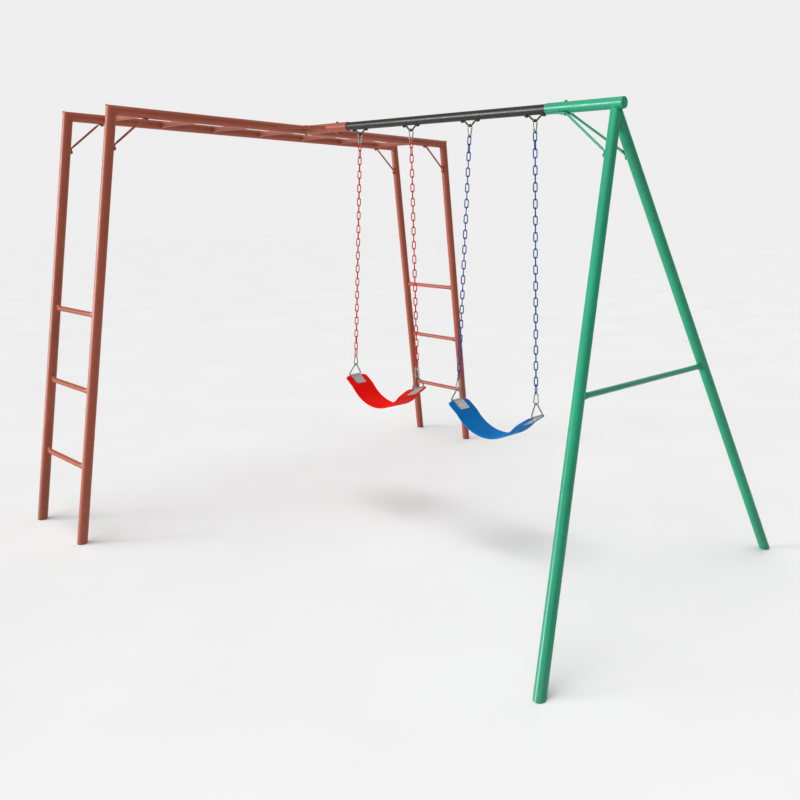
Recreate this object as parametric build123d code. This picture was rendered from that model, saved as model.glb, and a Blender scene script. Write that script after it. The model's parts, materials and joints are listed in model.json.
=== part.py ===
from build123d import *
import math
import os

# ---------------------------------------------------------------------------
# Swing set: a climbing frame with an overhead ladder, one swing beam carried
# by it and by an A-frame, and two belt swings on chains.  Millimetres.
# X runs along the beam towards the A-frame, Y along the rails, Z is up.
# Everything is drawn from the point on the ground below the joint of beam and
# near rail, and saved about the middle of the ground area (CENTRE_X).
# ---------------------------------------------------------------------------

# --- steel tube sizes -------------------------------------------------------
TUBE_OD = 45.0
TUBE_WALL = 2.3
BEAM_OD = 40.0
BEAM_WALL = 2.3
RUNG_OD = 24.0
RUNG_WALL = 2.0
CROSS_OD = 22.0
CROSS_WALL = 1.8

# --- middle of the ground area, from the drawing origin ----------------------
CENTRE_X = 931.49

# --- climbing frame ---------------------------------------------------------
AXIS_Z = 1950.0
RAIL_LENGTH = 2110.0
RAIL_GAP = 450.0
LEG_LEAN = 256.0
LADDER_PITCH = 348.0
LADDER_RUNGS = 3
OVERHEAD_PITCH = 293.0
OVERHEAD_RUNGS = 7
CAP_HEIGHT = 8.0
OVERSHOOT = 60.0      # extra length on a tube before its end is cut to shape

# --- bolted braces ----------------------------------------------------------
BRACE_REACH = 147.0
BRACE_ROD = 10.0
BRACE_LIFT = 2.0      # rod axis above the middle of its flat tab
BRACE_TAB = 34.0
TAB_WIDTH = 18.0
TAB_THICK = 4.0
BOLT_D = 8.0
BOLT_HEAD = 13.0
BOLT_HEAD_H = 5.5
BOLT_CHAMFER = 0.8
BOLT_BELOW = 5.5      # threaded end of a through bolt below the tube

# --- beam, stub and A-frame -------------------------------------------------
STUB_END_X = 356.0
STUB_BOLT_X = 266.0
GUSSET_RAIL_Y = 225.0
GUSSET_STUB_X = 215.0
GUSSET_HEIGHT = 16.0
GUSSET_THICK = 6.0
BEAM_START_X = 120.0
BEAM_END_X = 1700.0
APEX_START_X = 1612.0
APEX_X = 1943.0
APEX_END_X = 1976.0
A_LEG_TOP_Z = 1926.0  # the legs' axes meet just below the apex tube
A_LEG_RISE = 35.0     # leg tube above that point, before it is coped to the apex tube
A_LEG_OUT_X = 370.0
A_LEG_HALF = 866.0
CROSS_Z = 899.0
A_BRACE_X = 1704.0
A_BRACE_DROP = 181.0
A_BRACE_SIDE = 20.0   # rod axis to the side of the bracket's bolt
A_BRACE_SET = 19.0    # rod end behind the bolt along the beam
BRACKET_LENGTH = 46.0
BRACKET_EDGE = 2.0
END_CAP = 4.0
END_CAP_EDGE = 1.5

# --- hangers ----------------------------------------------------------------
HANGER_X = (445.0, 811.0, 1187.0, 1551.0)
HANGER_ROD = 8.0
HANGER_SPREAD = 38.0
HANGER_BEND = 12.0
HANGER_DROP = 45.0
HANGER_PAD = 20.0
HANGER_PAD_X = 45.0
HANGER_PAD_H = 9.0
HANGER_PAD_SINK = 1.0
HANGER_PAD_EDGE = 3.0

# --- snap hooks -------------------------------------------------------------
HOOK_ROD = 6.0
HOOK_WIDE = 13.0
HOOK_NARROW = 7.0
HOOK_LENGTH = 54.0
GATE_ROD = 5.0
GATE_PIVOT = 0.18
GATE_NOSE = 0.97
PIN_D = 2.4
PIN_PLAY = 0.05
PIN_HEAD = 0.4        # pin end beyond each cheek
TONGUE = 2.4
TONGUE_R = 2.6
CHEEK_GAP = 3.0
CHEEK_OUT = 6.0
CHEEK_R = 3.4
SHOULDER = 4.0
LEG_TAIL = 0.5        # hook wire past the gate pivot
FIT_GAP = 0.3

# --- chains and belt seats --------------------------------------------------
LINK_ROD = 5.0
LINK_WIDTH = 20.0
LINKS = 32
LINK_GAP = 0.15
LINK_TURN = 42.0      # twist of the chain's middle links about its line
TURN_LINKS = 4        # links over which the twist builds up at each end
SEAT_SPLAY = 50.0
SEAT_PIVOT_Z = {"red": 728.0, "blue": 711.0}
TRI_ROD = 6.0
TRI_HALF = 37.0
TRI_HEIGHT = 54.0
TRI_BEND = 8.0
TRI_TILT = 8.0
PLATE_LENGTH = 66.0
PLATE_WIDTH = 62.0
PLATE_THICK = 2.0
BELT_THICK = 6.4
BELT_WIDTH = 140.0
BELT_END_ANGLE = 35.0
BELT_ANGLE = 48.0
BELT_STRAIGHT = 70.0
BELT_SHOULDER = 80.0
BELT_CORNER = 22.0
BELT_END = 1.0        # belt end to the nearest point of the ring wire's plate fold
SOLVE_STEPS = 20
RIVET_D = 6.0
RIVET_HEAD = 11.0
RIVET_HEAD_H = 2.6
RIVET_EDGE = 2.0
RIVET_U = (22.0, 50.0)
RIVET_Y = (-18.0, 18.0)

os.makedirs("parts", exist_ok=True)


def save(name, solids):
    items = list(solids)
    shape = items[0] if len(items) == 1 else Compound(children=items)
    shape = Pos(-CENTRE_X, 0, 0) * shape
    shape.label = name
    export_step(shape, "parts/" + name + ".step")


def solid_of(shape):
    found = shape.solids()
    if len(found) == 1:
        return found[0]
    return max(found, key=lambda s: s.volume)


def unit(vector):
    return Vector(vector).normalized()


def rod(start, end, diameter):
    start, end = Vector(start), Vector(end)
    plane = Plane(origin=start, z_dir=end - start)
    return solid_of(extrude(plane * Circle(diameter / 2), (end - start).length))


def tube(start, end, outer, wall):
    start, end = Vector(start), Vector(end)
    plane = Plane(origin=start, z_dir=end - start)
    ring = Circle(outer / 2) - Circle(outer / 2 - wall)
    return solid_of(extrude(plane * ring, (end - start).length))


def keep_side(shape, origin, normal):
    plane = Plane(origin=origin, z_dir=normal)
    return solid_of(split(shape, bisect_by=plane, keep=Keep.TOP))


def pipe_along(edges, diameter):
    path = Wire(edges)
    plane = Plane(origin=path @ 0, z_dir=path % 0)
    return solid_of(sweep(plane * Circle(diameter / 2), path))


# ---------------------------------------------------------------------------
# Climbing frame
# ---------------------------------------------------------------------------
HALF_RAIL = RAIL_LENGTH / 2
NEAR_X, FAR_X = 0.0, -RAIL_GAP
LEG_NAMES = {
    (NEAR_X, -1): "leg_near_left",
    (NEAR_X, 1): "leg_near_right",
    (FAR_X, -1): "leg_far_left",
    (FAR_X, 1): "leg_far_right",
}


def leg_foot(x, side):
    return Vector(x, side * (HALF_RAIL + LEG_LEAN), 0)


def leg_point(x, side, z):
    return Vector(x, side * (HALF_RAIL + LEG_LEAN * (1 - z / AXIS_Z)), z)


def corner(x, side):
    return Vector(x, side * HALF_RAIL, AXIS_Z)


def mitre_normal(side):
    inward = Vector(0, side, 0)
    down = unit((0, side * LEG_LEAN, -AXIS_Z))
    return unit(inward + down)


def rail_end(x, side):
    return corner(x, side) + Vector(0, side * OVERSHOOT, 0)


def make_rail(x):
    body = tube(rail_end(x, -1), rail_end(x, 1), TUBE_OD, TUBE_WALL)
    for side in (-1, 1):
        body = keep_side(body, corner(x, side), -mitre_normal(side))
    return body


def make_leg(x, side):
    direction = unit(leg_foot(x, side) - corner(x, side))
    top = corner(x, side) - direction * OVERSHOOT
    low = leg_foot(x, side) + direction * OVERSHOOT
    body = tube(top, low, TUBE_OD, TUBE_WALL)
    body = keep_side(body, corner(x, side), mitre_normal(side))
    return keep_side(body, (0, 0, CAP_HEIGHT), (0, 0, 1))


def foot_cap(top, low, outer):
    direction = unit(low - top)
    body = rod(top, low + direction * OVERSHOOT, outer)
    body = keep_side(body, (0, 0, CAP_HEIGHT), (0, 0, -1))
    body = keep_side(body, (0, 0, 0), (0, 0, 1))
    rim = body.edges().group_by(Axis.Z)[0]
    return solid_of(fillet(rim, CAP_HEIGHT / 4))


def make_rung(z, y, cutters):
    body = tube((FAR_X, y, z), (NEAR_X, y, z), RUNG_OD, RUNG_WALL)
    for cutter in cutters:
        body = body - cutter
    return solid_of(body)


rail_rods = {x: rod(rail_end(x, -1), rail_end(x, 1), TUBE_OD) for x in (NEAR_X, FAR_X)}
leg_rods = {(x, side): rod(corner(x, side), leg_foot(x, side), TUBE_OD) for (x, side) in LEG_NAMES}

save("near_rail", [make_rail(NEAR_X)])
save("far_rail", [make_rail(FAR_X)])
for (leg_x, leg_side), leg_name in LEG_NAMES.items():
    save(leg_name, [make_leg(leg_x, leg_side)])

for leg_side, rung_name in ((-1, "ladder_rungs_left"), (1, "ladder_rungs_right")):
    rungs = []
    for index in range(LADDER_RUNGS):
        rung_z = LADDER_PITCH * (index + 1)
        rung_y = leg_point(0, leg_side, rung_z).Y
        cutters = [leg_rods[(NEAR_X, leg_side)], leg_rods[(FAR_X, leg_side)]]
        rungs.append(make_rung(rung_z, rung_y, cutters))
    save(rung_name, rungs)

overhead = []
for index in range(OVERHEAD_RUNGS):
    rung_y = OVERHEAD_PITCH * (index - (OVERHEAD_RUNGS - 1) / 2)
    overhead.append(make_rung(AXIS_Z, rung_y, rail_rods.values()))
save("overhead_rungs", overhead)

save("climbing_foot_caps", [foot_cap(corner(x, s), leg_foot(x, s), TUBE_OD)
                            for (x, s) in LEG_NAMES])


# ---------------------------------------------------------------------------
# Diagonal braces: a round rod with a flat tab bent flush at each end
# ---------------------------------------------------------------------------
def flat_tab(origin, along, out, length):
    along, out = unit(along), unit(out)
    plane = Plane(origin=Vector(origin), x_dir=along, z_dir=out)
    outline = SlotOverall(length, TAB_WIDTH)
    shape = extrude(plane * Pos(length / 2 - TAB_WIDTH / 2, 0) * outline, TAB_THICK)
    hole = extrude(plane * Pos(length - TAB_WIDTH, 0) * Circle(BOLT_D / 2), TAB_THICK)
    return solid_of(shape - hole), Vector(origin) + along * (length - TAB_WIDTH)


def strut(start, start_along, start_out, end, end_along, end_out):
    tab_a, bolt_a = flat_tab(start, start_along, start_out, BRACE_TAB)
    tab_b, bolt_b = flat_tab(end, end_along, end_out, BRACE_TAB)
    lift = TAB_THICK / 2 + BRACE_LIFT
    p_a = Vector(start) + unit(start_out) * lift
    p_b = Vector(end) + unit(end_out) * lift
    body = rod(p_a, p_b, BRACE_ROD)
    body = keep_side(body, start, start_out)
    body = keep_side(body, end, end_out)
    return solid_of(body + tab_a + tab_b), (bolt_a, unit(start_out)), (bolt_b, unit(end_out))


def hex_bolt(seat, out, length=0.0):
    plane = Plane(origin=Vector(seat) + unit(out) * TAB_THICK, z_dir=out)
    head = extrude(plane * RegularPolygon(BOLT_HEAD / math.sqrt(3), 6), BOLT_HEAD_H)
    rim = head.edges().filter_by(GeomType.LINE).sort_by(Axis(plane.origin, plane.z_dir))[-6:]
    head = chamfer(rim, BOLT_CHAMFER)
    shank = extrude(plane * Circle(BOLT_D / 2), -TAB_THICK - length)
    return solid_of(head + shank)


braces = []
brace_bolts = []
for leg_x, leg_side in LEG_NAMES:
    leg_dir = unit(leg_foot(leg_x, leg_side) - corner(leg_x, leg_side))
    rail_dir = Vector(0, -leg_side, 0)
    inner = unit(Vector(0, -leg_side * AXIS_Z, -LEG_LEAN))
    under = Vector(0, 0, -1)
    on_leg = corner(leg_x, leg_side) + leg_dir * BRACE_REACH + inner * (TUBE_OD / 2)
    on_rail = corner(leg_x, leg_side) + rail_dir * BRACE_REACH + under * (TUBE_OD / 2)
    brace, bolt_leg, bolt_rail = strut(on_leg, leg_dir, inner, on_rail, rail_dir, under)
    braces.append(brace)
    brace_bolts.append(hex_bolt(*bolt_leg))
    brace_bolts.append(hex_bolt(*bolt_rail))
save("corner_braces", braces)
save("corner_brace_bolts", brace_bolts)

# ---------------------------------------------------------------------------
# Beam stub on the near rail, its two level braces, and the swing beam
# ---------------------------------------------------------------------------
def upright_bolt(x):
    """Cut for a bolt that runs down through tube and beam."""
    return rod((x, 0, AXIS_Z - TUBE_OD), (x, 0, AXIS_Z + TUBE_OD), BOLT_D)


def through_bolt(x):
    return hex_bolt((x, 0, AXIS_Z + TUBE_OD / 2 - TAB_THICK), (0, 0, 1), TUBE_OD + BOLT_BELOW)


stub_bolt_cut = upright_bolt(STUB_BOLT_X)
apex_bolt_cut = upright_bolt(A_BRACE_X)
stub = tube((NEAR_X, 0, AXIS_Z), (STUB_END_X, 0, AXIS_Z), TUBE_OD, TUBE_WALL)
save("beam_stub", [solid_of(stub - rail_rods[NEAR_X] - stub_bolt_cut)])


def level_brace(side):
    near = Vector(0, side * GUSSET_RAIL_Y, AXIS_Z)
    far = Vector(GUSSET_STUB_X, 0, AXIS_Z)
    along = unit(far - near)
    plane = Plane(origin=near, x_dir=along, z_dir=(0, 0, 1))
    length = (far - near).length
    outline = plane * Pos(length / 2, 0) * Rectangle(length, GUSSET_THICK)
    bar = extrude(outline, GUSSET_HEIGHT / 2, both=True)
    outer_stub = rod((0, 0, AXIS_Z), (STUB_END_X, 0, AXIS_Z), TUBE_OD)
    return solid_of(bar - rail_rods[NEAR_X] - outer_stub)


save("stub_braces", [level_brace(-1), level_brace(1)])

save("beam_clamp_bolt", [through_bolt(STUB_BOLT_X)])

beam = tube((BEAM_START_X, 0, AXIS_Z), (BEAM_END_X, 0, AXIS_Z), BEAM_OD, BEAM_WALL)
save("swing_beam", [solid_of(beam - stub_bolt_cut - apex_bolt_cut)])

# ---------------------------------------------------------------------------
# Hanger brackets: a bent round rod with a welded pad under each foot
# ---------------------------------------------------------------------------
APEX_HANG_Z = AXIS_Z - HANGER_DROP
beam_rod = rod((BEAM_START_X, 0, AXIS_Z), (BEAM_END_X, 0, AXIS_Z), BEAM_OD)


def make_hanger(x):
    foot_z = AXIS_Z - BEAM_OD / 2 + HANGER_ROD / 2
    rise = foot_z - APEX_HANG_Z
    slope = math.atan2(rise, HANGER_SPREAD)
    for _ in range(SOLVE_STEPS):
        tangent_x = HANGER_BEND * math.sin(slope)
        tangent_z = HANGER_BEND * (1 - math.cos(slope))
        slope = math.atan2(rise - tangent_z, HANGER_SPREAD - tangent_x)
    left = Vector(x - tangent_x, 0, APEX_HANG_Z + tangent_z)
    right = Vector(x + tangent_x, 0, APEX_HANG_Z + tangent_z)
    low = Vector(x, 0, APEX_HANG_Z)
    edges = [
        Edge.make_line((x - HANGER_SPREAD, 0, foot_z), left),
        Edge.make_three_point_arc(left, low, right),
        Edge.make_line(right, (x + HANGER_SPREAD, 0, foot_z)),
    ]
    body = pipe_along(edges, HANGER_ROD)
    pad_low = AXIS_Z - BEAM_OD / 2 - HANGER_PAD_H + HANGER_PAD_SINK
    for foot_x in (x - HANGER_PAD_X, x + HANGER_PAD_X):
        pad = rod((foot_x, 0, pad_low), (foot_x, 0, AXIS_Z), HANGER_PAD)
        rim = pad.edges().group_by(Axis.Z)[0]
        body = body + fillet(rim, HANGER_PAD_EDGE)
    return solid_of(body - beam_rod)


for number, hanger_x in enumerate(HANGER_X, 1):
    save("hanger_" + str(number), [make_hanger(hanger_x)])

# ---------------------------------------------------------------------------
# A-frame
# ---------------------------------------------------------------------------
apex = Vector(APEX_X, 0, A_LEG_TOP_Z)
apex_rod = rod((APEX_START_X, 0, AXIS_Z), (APEX_END_X, 0, AXIS_Z), TUBE_OD)
apex_tube = tube((APEX_START_X, 0, AXIS_Z), (APEX_END_X, 0, AXIS_Z), TUBE_OD, TUBE_WALL)
save("apex_tube", [solid_of(apex_tube - apex_bolt_cut)])
cap_disc = rod((APEX_END_X, 0, AXIS_Z), (APEX_END_X + END_CAP, 0, AXIS_Z), TUBE_OD)
cap_rim = cap_disc.edges().group_by(Axis.X)[-1]
save("apex_end_cap", [solid_of(fillet(cap_rim, END_CAP_EDGE))])


def a_foot(side):
    return Vector(APEX_X + A_LEG_OUT_X, side * A_LEG_HALF, 0)


def a_point(side, z):
    return apex + (a_foot(side) - apex) * ((A_LEG_TOP_Z - z) / A_LEG_TOP_Z)


def make_a_leg(side):
    direction = unit(a_foot(side) - apex)
    top, low = apex - direction * A_LEG_RISE, a_foot(side) + direction * OVERSHOOT
    body = tube(top, low, TUBE_OD, TUBE_WALL)
    body = keep_side(body, (0, 0, CAP_HEIGHT), (0, 0, 1))
    body = keep_side(body, apex, (0, side, 0))
    return solid_of(body - apex_rod)


A_NAMES = {-1: "a_leg_near", 1: "a_leg_far"}
a_rods = {side: rod(apex, a_foot(side), TUBE_OD) for side in A_NAMES}
for side, name in A_NAMES.items():
    save(name, [make_a_leg(side)])
save("a_frame_foot_caps", [foot_cap(apex, a_foot(side), TUBE_OD) for side in A_NAMES])
crossbar = tube(a_point(-1, CROSS_Z), a_point(1, CROSS_Z), CROSS_OD, CROSS_WALL)
save("a_frame_crossbar", [solid_of(crossbar - a_rods[-1] - a_rods[1])])

a_bolts = []
bracket_half = A_BRACE_SIDE + TAB_WIDTH / 2 + BRACKET_EDGE
under_z = AXIS_Z - TUBE_OD / 2
bracket_bar = Box(BRACKET_LENGTH, 2 * bracket_half, TAB_THICK)
bracket_bar = Pos(A_BRACE_X, 0, under_z - TAB_THICK / 2) * bracket_bar
bracket_bar = bracket_bar - apex_bolt_cut
for side in A_NAMES:
    leg_dir = unit(a_foot(side) - apex)
    toward = Vector(-1, 0, 0)
    inner = unit(toward - leg_dir * toward.dot(leg_dir))
    on_leg = a_point(side, AXIS_Z - A_BRACE_DROP) + inner * (TUBE_OD / 2)
    tab, bolt_at = flat_tab(on_leg, leg_dir, inner, BRACE_TAB)
    rod_lift = TAB_THICK / 2 + BRACE_LIFT
    top = Vector(A_BRACE_X + A_BRACE_SET, side * A_BRACE_SIDE, under_z - rod_lift)
    body = rod(on_leg + inner * rod_lift, top, BRACE_ROD)
    body = keep_side(body, on_leg, inner)
    body = keep_side(body, (0, 0, under_z), (0, 0, -1))
    bracket_bar = bracket_bar + body + tab
    a_bolts.append(hex_bolt(bolt_at, inner))
save("a_frame_brace", [solid_of(bracket_bar)])
a_bolts.append(through_bolt(A_BRACE_X))
save("a_frame_brace_bolts", a_bolts)


# ---------------------------------------------------------------------------
# Snap hook in its own plane: x across, y down the hook from the wide end
# ---------------------------------------------------------------------------
HOOK_TILT = math.asin((HOOK_WIDE - HOOK_NARROW) / (HOOK_LENGTH - HOOK_WIDE - HOOK_NARROW))
WIDE_C = Vector(0, HOOK_WIDE, 0)
NARROW_C = Vector(0, HOOK_LENGTH - HOOK_NARROW, 0)
SIDE_N = Vector(math.cos(HOOK_TILT), math.sin(HOOK_TILT), 0)
WIDE_T = WIDE_C + SIDE_N * HOOK_WIDE
NARROW_T = NARROW_C + SIDE_N * HOOK_NARROW
GATE_DIR = unit(WIDE_T - NARROW_T)
PIVOT = NARROW_T + (WIDE_T - NARROW_T) * GATE_PIVOT
NOSE = NARROW_T + (WIDE_T - NARROW_T) * GATE_NOSE


def mirror_x(point):
    return Vector(-point.X, point.Y, point.Z)


def make_hook():
    wide_top = WIDE_C - Vector(0, HOOK_WIDE, 0)
    narrow_low = NARROW_C + Vector(0, HOOK_NARROW, 0)
    body = pipe_along([
        Edge.make_line(NOSE, WIDE_T),
        Edge.make_three_point_arc(WIDE_T, wide_top, mirror_x(WIDE_T)),
        Edge.make_line(mirror_x(WIDE_T), mirror_x(NARROW_T)),
        Edge.make_three_point_arc(mirror_x(NARROW_T), narrow_low, NARROW_T),
        Edge.make_line(NARROW_T, PIVOT + GATE_DIR * LEG_TAIL),
    ], HOOK_ROD)
    trim = Plane(origin=PIVOT, x_dir=GATE_DIR, z_dir=(0, 0, 1))
    long_cut = Pos(SHOULDER / 2, 0) * Rectangle(3 * SHOULDER, 3 * HOOK_ROD)
    upper = extrude(trim.offset(TONGUE / 2) * long_cut, HOOK_ROD)
    lower = extrude(trim.offset(-TONGUE / 2) * long_cut, -HOOK_ROD)
    body = body - upper - lower
    tongue = extrude(trim * Circle(TONGUE_R), TONGUE / 2, both=True)
    pin = extrude(trim * Circle(PIN_D / 2), CHEEK_OUT / 2 + PIN_HEAD, both=True)
    return solid_of(body + tongue + pin)


def make_gate():
    tip = NOSE - GATE_DIR * FIT_GAP
    body = rod(PIVOT + GATE_DIR * SHOULDER, tip, GATE_ROD)
    plane = Plane(origin=PIVOT, x_dir=GATE_DIR, z_dir=(0, 0, 1))
    cheek = Circle(CHEEK_R) + Pos(SHOULDER, 0) * Rectangle(2 * SHOULDER, GATE_ROD)
    body = body + extrude(plane * cheek, CHEEK_OUT / 2, both=True)
    slot = Rectangle(2 * SHOULDER, 4 * CHEEK_R)
    body = body - extrude(plane * slot, CHEEK_GAP / 2, both=True)
    hole = extrude(plane * Circle(PIN_D / 2 + PIN_PLAY), CHEEK_OUT, both=True)
    return solid_of(body - hole)


def make_link(length):
    """Link whose end wires lie the given length apart, centre to centre."""
    radius = (LINK_WIDTH - LINK_ROD) / 2
    half = length / 2 - radius
    edges = [
        Edge.make_line((radius, -half, 0), (radius, half, 0)),
        Edge.make_three_point_arc((radius, half, 0), (0, half + radius, 0), (-radius, half, 0)),
        Edge.make_line((-radius, half, 0), (-radius, -half, 0)),
        Edge.make_three_point_arc((-radius, -half, 0), (0, -half - radius, 0), (radius, -half, 0)),
    ]
    first = pipe_along(edges[:2], LINK_ROD)
    second = pipe_along(edges[2:], LINK_ROD)
    return solid_of(first + second)


# distances down the chain line, from the hanger rod centre
TOP_WIRE = -(HANGER_ROD / 2 + FIT_GAP + HOOK_ROD / 2)
HOOK_LOW_WIRE = TOP_WIRE + HOOK_LENGTH
FIRST_LINK_TOP = HOOK_LOW_WIRE - (HOOK_ROD / 2 + LINK_ROD / 2 + FIT_GAP)

hook = make_hook()
gate = make_gate()


def line_plane(x, sign, drop, distance, across):
    """Plane with y down the chain line; x is the given across direction."""
    angle = math.atan2(SEAT_SPLAY, drop)
    down = Vector(sign * math.sin(angle), 0, -math.cos(angle))
    origin = Vector(x, 0, APEX_HANG_Z) + down * distance
    sideways = Vector(across)
    sideways = unit(sideways - down * sideways.dot(down))
    return Plane(origin=origin, x_dir=sideways, z_dir=sideways.cross(down))


def make_triangle(x, z, sign):
    tilt = math.radians(TRI_TILT)
    down = Vector(sign * math.sin(tilt), 0, -math.cos(tilt))
    bend = HOOK_ROD / 2 + FIT_GAP + TRI_ROD / 2
    frame = Plane(origin=Vector(x, 0, z), x_dir=(0, 1, 0), z_dir=Vector(0, 1, 0).cross(down))
    side_angle = math.atan2(TRI_HALF - bend, TRI_HEIGHT)
    for _ in range(SOLVE_STEPS):
        px = bend * math.cos(side_angle)
        py = -bend * math.sin(side_angle)
        cx, cy = TRI_HALF - TRI_BEND, TRI_HEIGHT - TRI_BEND
        qx = cx + TRI_BEND * math.cos(side_angle)
        qy = cy - TRI_BEND * math.sin(side_angle)
        side_angle = math.atan2(qx - px, qy - py)
    mid = Vector(cx + TRI_BEND * math.cos(side_angle / 2 - math.pi / 4),
                 cy - TRI_BEND * math.sin(side_angle / 2 - math.pi / 4), 0)
    right = [
        (Vector(px, py, 0), Vector(qx, qy, 0)),
        (Vector(qx, qy, 0), mid, Vector(cx, TRI_HEIGHT, 0)),
    ]

    def put(point):
        return frame.from_local_coords(point)

    edges = [
        Edge.make_line(put(Vector(0, TRI_HEIGHT, 0)), put(right[1][2])),
        Edge.make_three_point_arc(put(right[1][2]), put(mid), put(right[1][0])),
        Edge.make_line(put(right[0][1]), put(right[0][0])),
        Edge.make_three_point_arc(put(right[0][0]), put(Vector(0, -bend, 0)), put(mirror_x(right[0][0]))),
        Edge.make_line(put(mirror_x(right[0][0])), put(mirror_x(right[0][1]))),
        Edge.make_three_point_arc(put(mirror_x(right[1][0])), put(mirror_x(mid)), put(mirror_x(right[1][2]))),
        Edge.make_line(put(mirror_x(right[1][2])), put(Vector(0, TRI_HEIGHT, 0))),
    ]
    return pipe_along(edges, TRI_ROD), put(Vector(0, TRI_HEIGHT, 0))


def belt_curve(left, right):
    """Edges of the belt's centre line between its two plates, left to right, in the XZ plane."""
    flat, steep = math.radians(BELT_END_ANGLE), math.radians(BELT_ANGLE)
    mid_x = (left.X + right.X) / 2

    def at(x, z, sign):
        return Vector(mid_x + sign * x, 0, z)

    plate_x = (right.X - left.X) / 2 - BELT_STRAIGHT * math.cos(flat)
    plate_z = left.Z - BELT_STRAIGHT * math.sin(flat)
    middle = (flat + steep) / 2
    points = []
    for angle in (middle, steep):
        run = BELT_SHOULDER * (math.sin(angle) - math.sin(flat))
        fall = BELT_SHOULDER * (math.cos(flat) - math.cos(angle))
        points.append((plate_x - run, plate_z - fall))
    radius = points[1][0] / math.sin(steep)
    low_z = points[1][1] - radius * (1 - math.cos(steep))
    ends = {sign: at(plate_x, plate_z, sign) for sign in (-1, 1)}
    shoulders = {sign: [at(*point, sign) for point in points] for sign in (-1, 1)}
    arcs = [
        Edge.make_three_point_arc(ends[-1], *shoulders[-1]),
        Edge.make_three_point_arc(shoulders[-1][1], at(0, low_z, 1), shoulders[1][1]),
        Edge.make_three_point_arc(shoulders[1][1], shoulders[1][0], ends[1]),
    ]
    return ends[-1], arcs, ends[1]


def make_seat(prefix, left_x, right_x, pivot_z):
    tri_left, bar_left = make_triangle(left_x, pivot_z, -1)
    tri_right, bar_right = make_triangle(right_x, pivot_z, 1)
    save(prefix + "_triangle_rings", [tri_left, tri_right])
    a, arcs, b = belt_curve(bar_left, bar_right)
    plates, rivets, holes = [], [], []
    gap = TRI_ROD / 2 + FIT_GAP
    for bar, inner_end, sign in ((bar_left, a, 1), (bar_right, b, -1)):
        along = unit(inner_end - bar)
        normal = Vector(0, -1, 0).cross(along) * sign
        frame = Plane(origin=bar, x_dir=along, z_dir=along.cross(normal))
        stack = gap + PLATE_THICK
        flat = Pos(PLATE_LENGTH / 2, 0)
        profile = Circle(stack) + flat * Rectangle(PLATE_LENGTH, 2 * stack)
        profile = profile - Circle(gap) - flat * Rectangle(PLATE_LENGTH, 2 * gap)
        plate = extrude(frame * profile, PLATE_WIDTH / 2, both=True)
        for u in RIVET_U:
            for y in RIVET_Y:
                centre = bar + along * u + Vector(0, y, 0)
                shank = rod(centre - normal * stack, centre + normal * stack, RIVET_D)
                holes.append(shank)
                plate = plate - shank
                body = shank
                for way in (1, -1):
                    face = Plane(origin=centre + normal * (way * stack), z_dir=normal * way)
                    head = extrude(face * Circle(RIVET_HEAD / 2), RIVET_HEAD_H)
                    rim = head.edges().filter_by(GeomType.CIRCLE)
                    rim = rim.sort_by(Axis(face.origin, face.z_dir))[-1:]
                    body = body + fillet(rim, RIVET_EDGE)
                rivets.append(solid_of(body))
        plates.append(solid_of(plate))
    save(prefix + "_seat_plates", plates)
    save(prefix + "_seat_rivets", rivets)
    start_offset = gap + BELT_END
    left_dir, right_dir = unit(a - bar_left), unit(b - bar_right)
    p_left = bar_left + left_dir * start_offset
    p_right = bar_right + right_dir * start_offset
    path = Wire([Edge.make_line(p_left, a), *arcs, Edge.make_line(b, p_right)])
    section = Plane(origin=p_left, x_dir=(0, 1, 0), z_dir=left_dir) * Rectangle(BELT_WIDTH, BELT_THICK)
    belt = solid_of(sweep(section, path))
    for point, direction in ((p_left, left_dir), (p_right, right_dir)):
        short = belt.edges().filter_by(lambda e: e.length < BELT_THICK * 1.2)
        near = [e for e in short if (e.center() - point).length < BELT_WIDTH / 2 + BELT_THICK]
        belt = solid_of(fillet(near, BELT_CORNER))
    for shank in holes:
        belt = belt - shank
    save(prefix + "_belt_seat", [solid_of(belt)])


def make_swing(prefix, left_x, right_x):
    pivot_z = SEAT_PIVOT_Z[prefix]
    drop = APEX_HANG_Z - pivot_z
    reach = math.hypot(drop, SEAT_SPLAY)
    last_link_low = reach - HOOK_LENGTH + HOOK_ROD / 2 + LINK_ROD / 2 + FIT_GAP
    step = (last_link_low - FIRST_LINK_TOP - LINK_ROD - LINK_GAP) / LINKS
    length = step + LINK_ROD + LINK_GAP
    link = make_link(length)
    for x, sign, word in ((left_x, -1, "left"), (right_x, 1, "right")):
        upper = line_plane(x, sign, drop, TOP_WIRE, (0, -1, 0))
        save(prefix + "_upper_hook_" + word, [upper.location * hook])
        save(prefix + "_upper_gate_" + word, [upper.location * gate])
        links = []
        for index in range(LINKS):
            distance = FIRST_LINK_TOP + length / 2 + step * index
            from_end = min(index + 1, LINKS - index)
            turn = LINK_TURN * min(1, from_end / TURN_LINKS) + 90 * (index % 2)
            across = (math.cos(math.radians(turn)), math.sin(math.radians(turn)), 0)
            links.append(line_plane(x, sign, drop, distance, across).location * link)
        save(prefix + "_chain_" + word, links)
        base = line_plane(x, sign, drop, reach, (sign, 0, 0))
        lower = Plane(origin=base.origin, x_dir=base.x_dir, z_dir=-base.z_dir)
        save(prefix + "_lower_hook_" + word, [lower.location * hook])
        save(prefix + "_lower_gate_" + word, [lower.location * gate])
    make_seat(prefix, left_x - SEAT_SPLAY, right_x + SEAT_SPLAY, pivot_z)


make_swing("red", HANGER_X[0], HANGER_X[1])
make_swing("blue", HANGER_X[2], HANGER_X[3])
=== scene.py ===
import json
import math
import random

import bmesh
import bpy
from mathutils import Matrix, Vector


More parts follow.
